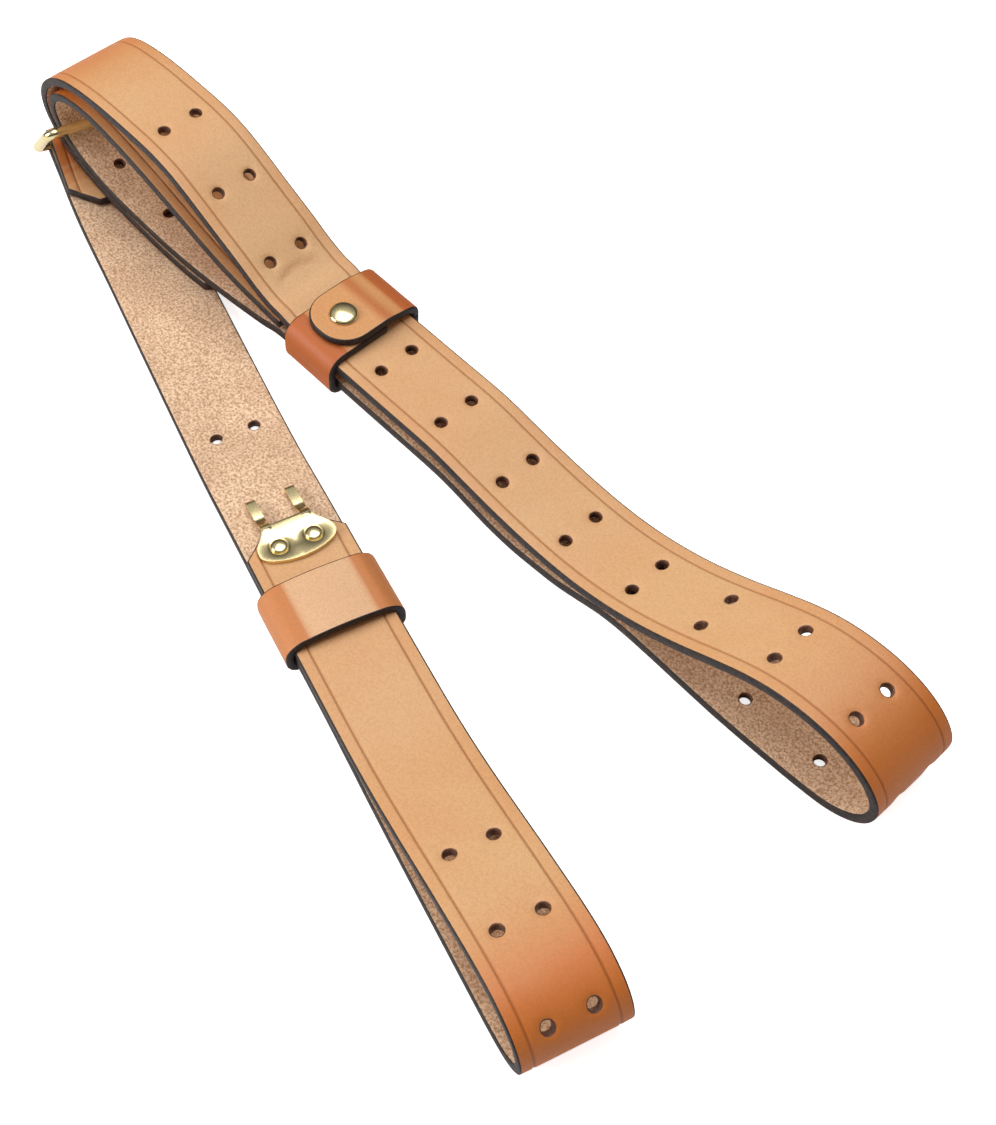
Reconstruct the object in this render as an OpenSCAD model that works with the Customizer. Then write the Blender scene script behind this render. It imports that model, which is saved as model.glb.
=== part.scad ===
// Adjustable leather carrying sling: a long strap and a short strap with paired holes,
// joined by a brass ring, set with claw hooks and gathered by two leather keepers.
// Millimetres, Z up, lying on the plane Z = 0, X along the long strap.

/* [Leather straps] */
// Width of both straps
strap_w = 31.75; // [30:0.25:32]
// Thickness of the strap leather
strap_t = 3; // [2.6:0.1:3.1]
// Radius of the adjustment holes
hole_r = 1.9; // [1.8:0.05:2.6]
// Distance between the two holes of a pair, across the strap
hole_gap = 12.7; // [10:0.1:14]
// Distance from one pair of holes to the next, along the strap
hole_pitch = 27.2; // [24:0.1:27.2]

/* [Ring] */
// Diameter of the ring's brass wire
wire_d = 3.5; // [2.5:0.1:3.6]
// Inside width of the ring
ring_inner_w = 38; // [37.5:0.25:40]

/* [Claw hooks] */
// Thickness of the hook plates and claws
plate_t = 1.3; // [1:0.1:1.4]
// Distance between the two claws
claw_gap = 12.7; // [11:0.1:13]
// Width of a claw
claw_w = 3; // [2.5:0.1:3.2]
// Distance between the two rivets of a hook
rivet_gap = 11; // [10:0.5:12]

/* [Keepers] */
// Width of each keeper, along the strap
keeper_w = 22; // [18:0.5:22]
// Thickness of the keeper leather
keeper_t = 2.5; // [2:0.1:2.5]
// Play between a keeper and the strap
keeper_play = 0.35; // [0.3:0.05:0.5]

/* [Snap] */
// Diameter of the domed cap
cap_d = 9.4; // [8:0.2:11]
// Height that the cap stands above the tab
cap_h = 1.8; // [1.2:0.1:2.4]

/* [Hidden] */
$fn = 48;

leather = [0.85, 0.66, 0.45];
keeper_leather = [0.84, 0.6, 0.38];
brass = [0.83, 0.72, 0.42];
thread = [0.72, 0.6, 0.42];

eps = 0.01;
layer_step = strap_t + 0.3;     // one strap layer lying on another
// Moves the layout's own zero to the middle of the bounding box
centre = [17.8, -53.8, 0];

// ---- curves -------------------------------------------------------------------

// A smooth curve through the points p, with n steps from each to the next
function bend(a, b, c, d, t) = 0.5 * ((2 * b) + (c - a) * t
    + (2 * a - 5 * b + 4 * c - d) * t * t + (3 * b - a - 3 * c + d) * t * t * t);
function curve(p, n) = concat(
    [for (i = [0 : len(p) - 2], j = [0 : n - 1])
        bend(p[max(i - 1, 0)], p[i], p[i + 1], p[min(i + 2, len(p) - 1)], j / n)],
    [p[len(p) - 1]]);
function unit(v) = v / norm(v);
function heading(c, i) = unit(c[min(i + 1, len(c) - 1)] - c[max(i - 1, 0)]);
function side(c, i) = let (h = heading(c, i)) [-h[1], h[0]];
// Length along the curve up to each of its points
function lengths(c, i = 0, total = 0) = i >= len(c) ? []
    : let (s = i == 0 ? 0 : total + norm(c[i] - c[i - 1])) concat([s], lengths(c, i + 1, s));
function at_length(c, run, s) = [
    lookup(s, [for (i = [0 : len(c) - 1]) [run[i], c[i][0]]]),
    lookup(s, [for (i = [0 : len(c) - 1]) [run[i], c[i][1]]])];
function slope_at(c, run, s) = let (d = at_length(c, run, s + 0.8) - at_length(c, run, s - 0.8))
    atan2(d[1], d[0]);
// A ribbon of thickness t along the curve c
function ribbon(c, t) = concat(
    [for (i = [0 : len(c) - 1]) c[i] + side(c, i) * t / 2],
    [for (i = [len(c) - 1 : -1 : 0]) c[i] - side(c, i) * t / 2]);
function arc(c, r, a0, a1, n) = [for (i = [0 : n]) c + r * [cos(a0 + (a1 - a0) * i / n),
    sin(a0 + (a1 - a0) * i / n)]];

// Extrudes an outline drawn in X and Z through the width w, centred on Y = 0
module across(w) {
    rotate([90, 0, 0]) translate([0, 0, -w / 2]) linear_extrude(height = w) children();
}

// ---- the long strap's path, in X and Z ------------------------------------------

// The keeper's stretch of the long strap is straight and falls by this angle
fall = 4;
function top_run(x) = 18 - x * tan(fall);       // middle of the upper layer there
function low_run(x) = 10.85 - x * tan(fall);    // middle of the lower layer there
run_left = -37;
run_right = 32;

long_points = [
    // feed end, lying on the short strap
    [-70, 6.2], [-84, 4.9], [-98, 5.4], [-113, 7.4], [-127, 10.2], [-138, 13.4], [-147, 17.2],
    // outer bend round the ring's bar
    [-154.2, 22.5], [-158.9, 29.5], [-159.9, 36], [-157.4, 42.2], [-152, 47.3], [-145, 50.8],
    // upper layer
    [-136, 52.5], [-124, 52.8], [-110, 51.7], [-98, 50.2], [-88, 47.3], [-78, 42.3], [-68, 36.6],
    [-58, 31.1], [-50, 26.2], [-43, 22.95], [-37.6, 21.8], [-33.4, 20.5],
    [-29, top_run(-29)],
    [-10, top_run(-10)], [12, top_run(12)], [run_right, top_run(run_right)],
    [46, 13], [58, 10.6], [70, 8.8], [82, 7.8], [93, 7.9], [103, 9.1], [113, 11.3], [123, 14.5],
    [134, 19], [145, 24.2], [156, 29], [166, 31.8], [176, 32.6],
    // front loop
    [185, 31.5], [193, 28.4], [199, 23.5], [202, 17.6], [200.9, 11.3], [196.4, 6.1],
    [189, 2.7], [179, 1.65],
    // lower layer
    [166, 1.65], [150, 2.2], [137, 3.5], [124, 5], [113, 5.9], [104, 5.6], [95, 3.8], [86, 2.1],
    [76, 1.65], [67, 1.7], [58, 2.9], [49, 5.1], [41, 7.2], [run_right, low_run(run_right)],
    [12, low_run(12)], [-10, low_run(-10)], [run_left, low_run(run_left)],
    [-48, 11.9], [-59, 10.7], [-70, 9.8], [-84, 9.2], [-98, 9.7], [-113, 11.4], [-127, 13.7],
    [-137, 16.8], [-144.5, 20.4],
    // inner bend round the ring's bar, and the hook end
    [-150.4, 24.8], [-154, 29.5], [-155.4, 35], [-153.6, 39.5], [-150, 42.2], [-145, 43.9],
    [-137, 44.6], [-127.5, 43.6], [-117.5, 41.1], [-107.5, 38], [-98, 34.6], [-88, 30.7],
    [-78, 26.8], [-68.5, 23.4], [-59, 20.9], [-50, 19.2], [-43, 18], [-38, 17.2]];
long_steps = 4;
long_curve = curve(long_points, long_steps);
long_run = lengths(long_curve);
// Length along the strap to the pair of holes just right of the snap keeper
zero_point = 26;                                // index of the point [-10, ...]
long_zero = long_run[zero_point * long_steps] + 10 / cos(fall);
front_pairs = [-4 : 10];
// The second group of pairs starts from the pair that takes the claws
claw_pair = 453.1;
claw_pairs = [-5 : 4];
feed_chamfer = 9;

function tilt_on_long(s) = slope_at(long_curve, long_run, s);

// ---- the short strap's path, in its own X (along) and Z ---------------------------

short_origin = [19.3, -61.2, 0];
short_turn = -16.7;                             // degrees from the long strap
ring_at = -189;                                 // the lower bar's place along the short strap
ring_z = 13.5;                                  // the lower bar's height
fold_r = wire_d / 2 + 0.4 + strap_t / 2;        // middle of the leather folded round the bar
short_roll = -6;                                // turn about its own length at the ring, degrees
ring_turn = 6.7;                                // turn of the ring in plan, degrees
roll_from = -120;
roll_to = -170;
keeper_lift = 4.3;                              // middle of the lower layer inside the keeper
flap_points = [[-159, 7.75], [-165, 8.6], [-171, 9.9], [-176.5, 12.2]];
main_points = [[-176.5, 7.8], [-169, 5.9], [-160, 4.4], [-149, 3.2], [-136, 2.3], [-122, 1.72]];
short_points = concat(
    // the flap that is sewn down, from its end to the fold
    flap_points,
    [for (p = arc([ring_at, ring_z], fold_r, 70, 262, 7)) p],
    // the flesh side up, from the ring to the keeper and out to the rear loop
    main_points,
    [[-108, 1.58], [-85, 1.5], [-60, 1.5], [-42, 1.58], [-28, 2.1], [-12, 3.6], [3, keeper_lift],
    [24, keeper_lift], [45, keeper_lift], [64, keeper_lift], [78, 3.4], [92, 2.3], [108, 1.62],
    [130, 1.52], [150, 1.52], [163, 1.65], [171.2, 3.2], [176.4, 6.8], [178.6, 11.6], [177.4, 16.6],
    [173.5, 20.7], [167.4, 23.2], [160.6, 23.7], [152, 22.7], [142, 20.6], [131, 18],
    [120, 15.1], [109, 12.3], [97, 9.8], [84, 8.1], [70, keeper_lift + layer_step],
    // under the keeper to the hook end
    [50, keeper_lift + layer_step], [30, keeper_lift + layer_step], [15, keeper_lift + layer_step],
    [0, keeper_lift + layer_step]]);
short_steps = 3;
short_curve = curve(short_points, short_steps);
short_run = lengths(short_curve);
short_total = short_run[len(short_run) - 1];
flap_chamfer = 9;
hook_end_s = 0;                                 // where the hook end stops
hook_chamfer = [7.5, 8.2];                      // how far the cut corner runs along and across

function smooth(t) = let (u = min(max(t, 0), 1)) u * u * (3 - 2 * u);
// Sideways drift of the strap towards the ring
function drift(x) = 0.019 * (sqrt((x + 10) * (x + 10) + 1600) - x - 10) - 0.8;
function settle(x) = smooth((x - roll_from) / (roll_to - roll_from));
function roll(x) = short_roll * settle(x);
// Places a point of the straight short strap on the strap as it really lies
function lie(p) = let (a = roll(p[0]), z = p[2] - ring_z)
    [p[0] - p[1] * tan(ring_turn) * settle(p[0]),
        drift(p[0]) + p[1] * cos(a) - z * sin(a), ring_z + p[1] * sin(a) + z * cos(a)];

// ---- the hooks' and keepers' places -----------------------------------------------

hook_s = 7.4;                                   // the short hook's rivets along the short strap
short_face = keeper_lift + layer_step + strap_t / 2;
long_hook = [-45.4, 18.37];                     // the long hook's rivets, on its strap's middle
long_hook_tilt = 9.5;                           // fall of the long hook's plate, degrees
plain_at = 32.5;                                // middle of the plain keeper
snap_at = -21.2;                                // middle of the snap keeper
snap_origin = [snap_at, 0, (top_run(snap_at) + low_run(snap_at)) / 2];
snap_stack = (top_run(0) - low_run(0)) * cos(fall) / 2 + strap_t / 2;
crown = 1.3;                                    // rise of a keeper's top at its middle
keeper_in = strap_w / 2 + keeper_play;
keeper_out = keeper_in + keeper_t;
tab_tip_y = -13.4;
snap_y = -3.3;                                  // the snap's place across the strap

module in_long() translate(-centre) children();
module in_short() in_long() translate(short_origin) rotate([0, 0, short_turn]) children();
module in_snap() in_long() translate(snap_origin) rotate([0, fall, 0]) children();
module in_long_hook() in_long() translate([long_hook[0], 0, long_hook[1]])
    rotate([0, long_hook_tilt, 0]) mirror([1, 0, 0]) translate([0, 0, strap_t / 2]) children();
module in_short_hook() in_short() translate([hook_s, drift(hook_s), short_face]) children();
// The ring's frame: at the lower bar, turned with the end of the short strap
module in_ring() in_short() translate(lie([ring_at, ring_shift, ring_z]))
    rotate([0, 0, ring_turn]) rotate([short_roll, 0, 0]) children();

// ---- leather straps -------------------------------------------------------------------

module hole_pair(gap, r, deep) {
    for (y = [-gap / 2, gap / 2])
        translate([0, y, -deep / 2]) cylinder(r = r, h = deep);
}

module long_pair(s) {
    p = at_length(long_curve, long_run, s);
    translate([p[0], 0, p[1]]) rotate([0, -tilt_on_long(s), 0])
        hole_pair(hole_gap, hole_r, layer_step);
}

module corner_cut(x, z, h, along, aside, way) {
    for (m = [0, 1])
        mirror([0, m, 0]) translate([x, strap_w / 2 + eps, z]) linear_extrude(height = h)
            polygon([[-way * 2, -aside], [-way * 2, 1], [way * along, 1], [way * along, 0],
                [0, -aside]]);
}

module long_strap() color(leather) in_long() difference() {
    across(strap_w) polygon(ribbon(long_curve, strap_t));
    for (i = front_pairs)
        long_pair(long_zero + i * hole_pitch);
    for (i = claw_pairs)
        long_pair(long_zero + claw_pair + i * hole_pitch);
    // clipped corners of the feed end and of the hook end
    corner_cut(long_points[0][0], 4, 4, feed_chamfer, feed_chamfer, -1);
    translate([long_hook[0], 0, long_hook[1]]) rotate([0, long_hook_tilt, 0])
        hole_pair(rivet_gap, rivet_r + 0.05, strap_t + 2);
}

// The four corners of the short strap's section at point i of its curve
function section(i) = let (c = short_curve[i], n = side(short_curve, i) * strap_t / 2,
    end = short_total - short_run[i],
    w = strap_w / 2 - (end < hook_chamfer[0] ? hook_chamfer[1] * (1 - end / hook_chamfer[0])
        : short_run[i] < flap_chamfer ? flap_chamfer - short_run[i] : 0))
    [lie([c[0] + n[0], -w, c[1] + n[1]]), lie([c[0] + n[0], w, c[1] + n[1]]),
     lie([c[0] - n[0], w, c[1] - n[1]]), lie([c[0] - n[0], -w, c[1] - n[1]])];

module swept_short() {
    n = len(short_curve);
    points = [for (i = [0 : n - 1]) each section(i)];
    walls = [for (i = [0 : n - 2], k = [0 : 3])
        let (a = 4 * i + k, b = 4 * i + (k + 1) % 4)
        each [[a, b, a + 4], [b, b + 4, a + 4]]];
    ends = [[0, 2, 1], [0, 3, 2], [4 * n - 4, 4 * n - 3, 4 * n - 2],
        [4 * n - 4, 4 * n - 2, 4 * n - 1]];
    polyhedron(points = points, faces = concat(walls, ends));
}

// Pairs on the short strap: three near the rear loop, one where the flesh side shows
top_pairs = [[123.4, 16.1, 14.5], [149.8, 22.3, 9], [175.1, 19.2, -46]];
flesh_pair = -45.2;

module short_pair(x, z, slope) {
    translate([x, drift(x), z]) rotate([0, -slope, 0])
        hole_pair(hole_gap, hole_r, layer_step + 0.6);
}

module short_strap() color(leather) in_short() difference() {
    swept_short();
    for (p = top_pairs)
        short_pair(p[0], p[1], p[2]);
    short_pair(flesh_pair, strap_t / 2, 0);
    translate([hook_s, drift(hook_s), short_face - strap_t / 2])
        hole_pair(rivet_gap, rivet_r + 0.05, strap_t + 1);
    // the burrs are let into the flesh side
    translate([hook_s, drift(hook_s), short_face - strap_t])
        hole_pair(rivet_gap, burr_r + 0.05, 2 * burr_t + 0.2);
    stitches(0.05, 3);
}

// ---- ring -------------------------------------------------------------------------------

ring_w = ring_inner_w + wire_d;                 // between the middles of the two sides
ring_h = 19.2;                                  // between the middles of the two bars
ring_corner = 3;
ring_lean = 47.3;                               // the ring's rise from the lower bar, degrees
ring_shift = 0.2;                               // the strap's fold lies off the ring's middle

module ring_corner_at(y, x, turn) {
    translate([x, y, 0]) rotate([0, 0, turn]) rotate_extrude(angle = 90)
        translate([ring_corner, 0]) circle(d = wire_d, $fn = 32);
}

module rod(a, b, d) {
    v = b - a;
    translate(a) rotate([0, acos(v[2] / norm(v)), atan2(v[1], v[0])])
        cylinder(d = d, h = norm(v), $fn = 32);
}

// Drawn flat in its own X (up from the lower bar) and Y, then leaned
module ring() color(brass) in_ring() rotate([0, -ring_lean, 0]) {
    hw = ring_w / 2;
    c = ring_corner;
    union() {
        for (x = [0, ring_h]) rod([x, c - hw, 0], [x, hw - c, 0], wire_d);
        for (y = [-hw, hw]) rod([c, y, 0], [ring_h - c, y, 0], wire_d);
        ring_corner_at(hw - c, ring_h - c, 0);
        ring_corner_at(hw - c, c, 90);
        ring_corner_at(c - hw, c, 180);
        ring_corner_at(c - hw, ring_h - c, 270);
    }
}

// A seam across the flap: stitches down through both layers, joined under the strap
stitch_x = -164;
stitch_ys = [-2, 1, 4, 7, 10];
function stitch_z(points, y, off) = lie([stitch_x, y, lookup(stitch_x, points) + off]);

module stitches(grow, over) {
    for (y = stitch_ys)
        rod(stitch_z(main_points, y, -strap_t / 2 + 0.3 - over),
            stitch_z(flap_points, y, strap_t / 2 - 0.2 + over), 0.9 + 2 * grow);
    rod(stitch_z(main_points, stitch_ys[0] - 0.4 - grow, -strap_t / 2 + 0.6),
        stitch_z(main_points, stitch_ys[4] + 0.4 + grow, -strap_t / 2 + 0.6), 0.9 + 2 * grow);
}

module ring_fold_stitching() color(thread) in_short() union() stitches(0, 0);

// ---- claw hooks: plate at z = 0 upwards, claws towards -X ---------------------------------

rivet_r = 1.3;
rivet_head_r = 2.6;
seat_r = 3.6;                                   // the dished seat round a rivet
seat_deep = 0.45;
burr_r = 2.9;
burr_t = 0.7;

// Half of the plate's outline, from the claw edge to the crown of the far edge
plate_half = [[-8.4, 0], [-8.4, 7.9], [-7, 8.1], [-5.4, 8.8], [-3.7, 10.1], [-2, 11.4],
    [0, 12.1], [2.2, 11.9], [3.9, 10.5], [5.2, 7.8], [6.2, 4.2], [6.6, 0]];
plate_curve = curve([for (i = [2 : len(plate_half) - 1]) plate_half[i]], 3);
plate_side = concat([plate_half[0], plate_half[1]], plate_curve);
plate_outline = concat(plate_side, [for (i = [len(plate_side) - 2 : -1 : 1])
    [plate_side[i][0], -plate_side[i][1]]]);

tip_bend = 1.4;                                 // the bend to the turned-down tip

// Drop of the claws, their reach, and the length of the turned-down tip
module claw_hook(drop, reach, tip) {
    lift = 0.15;                                // clear of the leather's own curve
    z0 = lift + plate_t / 2;
    low = z0 - drop;
    path = concat(
        curve([[-6.6, z0], [-7.8, z0], [-9.5, z0 - drop * 0.3], [-11.3, z0 - drop * 0.78],
            [-13, low], [-14.6, low]], 4),
        arc([tip_bend - reach, low - tip_bend], tip_bend, 90, 180, 6),
        [[-reach, low - tip]]);
    difference() {
        union() {
            translate([0, 0, lift]) linear_extrude(height = plate_t) polygon(plate_outline);
            for (y = [-claw_gap / 2, claw_gap / 2])
                translate([0, y, 0]) across(claw_w) polygon(ribbon(path, plate_t));
        }
        for (y = [-rivet_gap / 2, rivet_gap / 2]) translate([0, y, lift]) {
            translate([0, 0, -1]) cylinder(r = rivet_r + 0.05, h = plate_t + 2);
            translate([0, 0, plate_t - seat_deep])
                cylinder(r1 = seat_r - 0.9, r2 = seat_r + 0.02, h = seat_deep + 0.01, $fn = 48);
        }
    }
}

module rivet_pair(deep) {
    head_z = 0.15 + plate_t - seat_deep;
    for (y = [-rivet_gap / 2, rivet_gap / 2]) translate([0, y, 0]) {
        translate([0, 0, -deep]) cylinder(r = rivet_r, h = deep + head_z);
        translate([0, 0, head_z]) rotate_extrude()
            polygon(concat([[0, 0], [rivet_head_r, 0]],
                [for (a = [0 : 15 : 90]) [rivet_head_r * cos(a), 0.15 + 0.85 * sin(a)]]));
    }
}

module burr_pair() {
    for (y = [-rivet_gap / 2, rivet_gap / 2])
        translate([0, y, -strap_t - burr_t - 0.05]) difference() {
            cylinder(r = burr_r, h = burr_t);
            translate([0, 0, -1]) cylinder(r = rivet_r + 0.03, h = burr_t + 2);
        }
}

rivet_deep = strap_t + burr_t + 0.35;
module long_claw_hook() color(brass) in_long_hook() claw_hook(2.2, 18.6, 4.2);
module long_hook_rivets() color(brass) in_long_hook() rivet_pair(rivet_deep);
module long_hook_burrs() color(brass) in_long_hook() burr_pair();
module short_claw_hook() color(brass) in_short_hook() claw_hook(2.4, 21.5, 2.05);
module short_hook_rivets() color(brass) in_short_hook() rivet_pair(rivet_deep_short);
module short_hook_burrs() color(brass) in_short_hook() short_burrs();

// The short hook's burrs are let into the leather, flush with its flesh side
rivet_deep_short = strap_t;
module short_burrs() translate([0, 0, burr_t + 0.05]) burr_pair();

// ---- keepers: a band round the strap, drawn in Y and Z ---------------------------------------

// Outline of a crowned band: half width w, floor z0, shoulder z1, crown rise and corner radius
function band(w, z0, z1, rise, r) = concat(
    arc([r - w, z0 + r], r, 180, 270, 6),
    arc([w - r, z0 + r], r, 270, 360, 6),
    arc([w - r, z1 - r], r, 0, 80, 6),
    [for (i = [1 : 11]) let (y = (w - r * 0.83) * (1 - i / 6)) [y, z1 + rise * cos(90 * y / w)]],
    arc([r - w, z1 - r], r, 100, 180, 6));

module along(w) {
    rotate([90, 0, 90]) translate([0, 0, -w / 2]) linear_extrude(height = w) children();
}

module keeper_section(z0, z1, rise) {
    difference() {
        polygon(band(keeper_out, z0 - keeper_t, z1 + keeper_t, rise, 4.5));
        polygon(band(keeper_in, z0, z1, rise, 0.3));
    }
}

plain_floor = keeper_t;
module in_plain() in_short() translate([plain_at, drift(plain_at + 10), 0]) children();
staple_w = 9;
staple_t = 0.6;

module staple_shapes(grow) {
    for (x = [-6, 6]) translate([x, 0, 0]) {
        translate([-staple_t / 2 - grow, -staple_w / 2 - grow, 0.15 - grow])
            cube([staple_t + 2 * grow, staple_w + 2 * grow, staple_t + 2 * grow]);
        for (y = [-staple_w / 2, staple_w / 2 - staple_t])
            translate([-staple_t / 2 - grow, y - grow, 0.15 - grow])
                cube([staple_t + 2 * grow, staple_t + 2 * grow, keeper_t - 0.3 + 2 * grow]);
    }
}

module plain_keeper() color(keeper_leather) in_plain() difference() {
    along(keeper_w)
        keeper_section(plain_floor, keeper_lift + layer_step + strap_t / 2 + keeper_play, crown);
    staple_shapes(0.02);
    for (x = [-6, 6]) translate([x - staple_t / 2, -staple_w / 2, -1])
        cube([staple_t, staple_w, 1.3]);
}
module plain_keeper_staples() color(brass) in_plain() staple_shapes(0);

// ---- snap keeper: an open band, its end laid over and snapped down ----------------------------

snap_half = snap_stack + keeper_play;           // inside of the band, above and below its middle
band_top = snap_half + keeper_t;
tab_low = band_top + 0.3;                       // underside of the tab, over the band
tab_mid = tab_low + keeper_t / 2;
tab_top = tab_low + keeper_t;
band_end_y = 5.3;                               // where the band's own end lies, under the tab
hinge_y = keeper_in + keeper_t / 2;
hinge_z = snap_stack + 0.15;
tab_path = curve([[hinge_y, hinge_z], [17.1, 6.5], [15.9, 7.5], [13.8, 8.15], [11, 8.7],
    [8.3, 9.2], [6, tab_mid + 0.05], [3, tab_mid + 0.05], [-3, tab_mid + 0.02], [-8, tab_mid + 0.02],
    [tab_tip_y, tab_mid]], 4);
tip_round = 10;
cap_post_r = 1.3;
stud_post_r = 1.2;
stud_r = 1.75;
socket_bore_r = 1.9;
socket_r = 4.2;
socket_h = 1.25;
stud_flange_r = 3.6;
post_flange_r = 3.8;

module snap_keeper_band() color(keeper_leather) in_snap() difference() {
    along(keeper_w) difference() {
        keeper_section(-snap_half, snap_half, 0);
        translate([band_end_y, 3.8]) square([20, 20]);
        // room for the tab to turn
        translate([hinge_y, hinge_z]) circle(r = keeper_t / 2 + 0.3);
    }
    translate([0, snap_y, snap_half - 1]) cylinder(r = stud_post_r + 0.02, h = 12);
    translate([0, snap_y, snap_half - 1]) cylinder(r = post_flange_r + 0.05, h = 1.6);
    translate([0, snap_y, band_top - 0.32]) cylinder(r = stud_flange_r + 0.05, h = 2);
}

module snap_keeper_tab() color(keeper_leather) in_snap() difference() {
    intersection() {
        along(keeper_w) polygon(concat(ribbon(tab_path, keeper_t),
            arc([hinge_y, hinge_z], keeper_t / 2, -8, -172, 10)));
        translate([0, 0, -20]) linear_extrude(height = 60) polygon(concat(
            [[-keeper_w / 2, hinge_y + 3]],
            arc([tip_round - keeper_w / 2, tab_tip_y + tip_round], tip_round, 180, 270, 8),
            arc([keeper_w / 2 - tip_round, tab_tip_y + tip_round], tip_round, 270, 360, 8),
            [[keeper_w / 2, hinge_y + 3]]));
    }
    translate([0, snap_y, tab_low - 2]) cylinder(r = cap_post_r + 0.02, h = keeper_t + 4);
    translate([0, snap_y, tab_low - 1]) cylinder(r = socket_r + 0.05, h = socket_h + 1.05);
}

// Domed cap, with the post that is set down through the tab
module snap_cap() color(brass) in_snap() translate([0, snap_y, tab_top + 0.1]) union() {
    rotate_extrude() polygon(concat([[0, 0], [cap_d / 2 - 0.3, 0], [cap_d / 2, 0.3]],
        [for (a = [10 : 10 : 90]) [cap_d / 2 * cos(a), 0.3 + (cap_h - 0.3) * sin(a)]]));
    translate([0, 0, -1.45]) cylinder(r = cap_post_r, h = 1.6);
}

// Spring socket let into the tab's underside
module snap_socket() color(brass) in_snap() translate([0, snap_y, tab_low]) difference() {
    cylinder(r = socket_r, h = socket_h);
    translate([0, 0, -1]) cylinder(r = socket_bore_r, h = socket_h + 2);
}

// Stud on the band's top, its knob inside the socket
module snap_stud() color(brass) in_snap() translate([0, snap_y, band_top - 0.3]) union() {
    cylinder(r = stud_flange_r, h = 0.3);
    cylinder(r = stud_r, h = 1.35);
}

// Post that holds the stud from inside the band
module snap_post() color(brass) in_snap() translate([0, snap_y, snap_half]) union() {
    translate([0, 0, 0.03]) cylinder(r = post_flange_r, h = 0.5);
    translate([0, 0, 0.03]) cylinder(r = stud_post_r, h = keeper_t - 0.36);
}

long_strap();
short_strap();
ring();
long_claw_hook();
long_hook_rivets();
long_hook_burrs();
short_claw_hook();
short_hook_rivets();
short_hook_burrs();
ring_fold_stitching();
plain_keeper();
plain_keeper_staples();
snap_keeper_band();
snap_keeper_tab();
snap_cap();
snap_socket();
snap_stud();
snap_post();
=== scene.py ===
"""Leather carrying sling: detailed leather, brass and a studio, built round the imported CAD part."""
import math

import bmesh
import bpy
import numpy as np
from mathutils import Matrix, Vector
from mathutils.geometry import delaunay_2d_cdt


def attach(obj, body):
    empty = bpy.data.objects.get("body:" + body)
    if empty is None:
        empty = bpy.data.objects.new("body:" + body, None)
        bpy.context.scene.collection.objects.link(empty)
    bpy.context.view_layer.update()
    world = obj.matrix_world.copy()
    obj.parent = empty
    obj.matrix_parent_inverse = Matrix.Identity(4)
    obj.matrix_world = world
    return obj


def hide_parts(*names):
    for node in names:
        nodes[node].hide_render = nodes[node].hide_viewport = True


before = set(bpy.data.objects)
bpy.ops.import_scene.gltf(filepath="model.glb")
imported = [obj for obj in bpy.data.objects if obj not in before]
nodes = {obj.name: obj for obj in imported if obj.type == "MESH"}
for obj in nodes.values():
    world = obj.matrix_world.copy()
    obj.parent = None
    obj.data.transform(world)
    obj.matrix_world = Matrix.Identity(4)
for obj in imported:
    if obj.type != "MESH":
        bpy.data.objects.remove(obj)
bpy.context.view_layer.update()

MM = 0.001
CENTRE = np.array([17.8, -53.8, 0.0])      # the frame's origin, in the layout the shapes are drawn in
W = 31.75                                  # strap width
T = 3.0                                    # strap thickness
FALL = math.radians(4)                     # fall of the strap under the snap keeper
CREASE = W / 2 - 3.9                       # tooled line, from the strap's middle
HOLE_SIDES = 24


# ---- curves and places --------------------------------------------------------------

def curve(points, steps):
    """Catmull-Rom curve through the points."""
    p = np.array(points, float)
    t = np.arange(steps)[:, None] / steps
    out = []
    for i in range(len(p) - 1):
        a, b, c, d = p[max(i - 1, 0)], p[i], p[i + 1], p[min(i + 2, len(p) - 1)]
        out.append(0.5 * (2 * b + (c - a) * t + (2 * a - 5 * b + 4 * c - d) * t ** 2
                          + (3 * b - a - 3 * c + d) * t ** 3))
    out.append(p[-1:])
    return np.vstack(out)


def arc(centre, r, a0, a1, n):
    a = np.radians(np.linspace(a0, a1, n + 1))
    return [(centre[0] + r * x, centre[1] + r * z) for x, z in zip(np.cos(a), np.sin(a))]


class Strip:
    """A ribbon's middle line: gives the point and the left-hand normal at each length."""

    def __init__(self, points, steps=8, smooth=1.0):
        c = curve(points, steps) if steps > 1 else np.array(points, float)
        run = np.r_[0, np.cumsum(np.hypot(*np.diff(c, axis=0).T))]
        self.length = float(run[-1])
        n = max(int(self.length / 0.4), 8)
        self.s = np.linspace(0, self.length, n)
        self.p = np.stack([np.interp(self.s, run, c[:, k]) for k in (0, 1)], 1)
        d = np.gradient(self.p, axis=0)
        k = max(int(smooth / 0.4), 1)
        pad = np.pad(d, ((k, k), (0, 0)), "edge")
        d = np.stack([np.convolve(pad[:, j], np.ones(2 * k + 1) / (2 * k + 1), "valid") for j in (0, 1)], 1)
        d /= np.hypot(d[:, 0], d[:, 1])[:, None]
        self.n = np.stack([-d[:, 1], d[:, 0]], 1)
        a = np.unwrap(np.arctan2(d[:, 1], d[:, 0]))
        self.k = np.gradient(a, self.s)

    def bend(self, s, spread):
        """How sharply the strip bends near s, averaged over a distance spread to each side."""
        step = np.linspace(-2, 2, 25)
        w = np.exp(-step ** 2)
        k = np.interp(s[:, None] + step * spread, self.s, self.k)
        return (k * w).sum(1) / w.sum()

    def at(self, s):
        p = np.stack([np.interp(s, self.s, self.p[:, j]) for j in (0, 1)], -1)
        n = np.stack([np.interp(s, self.s, self.n[:, j]) for j in (0, 1)], -1)
        n /= np.hypot(n[..., 0], n[..., 1])[..., None]
        return p, n


def run_near(strip, x, z):
    return float(strip.s[np.argmin(np.hypot(strip.p[:, 0] - x, strip.p[:, 1] - z))])


def place_long(u, v, z):
    return np.stack([u, v, z], -1)


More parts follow.
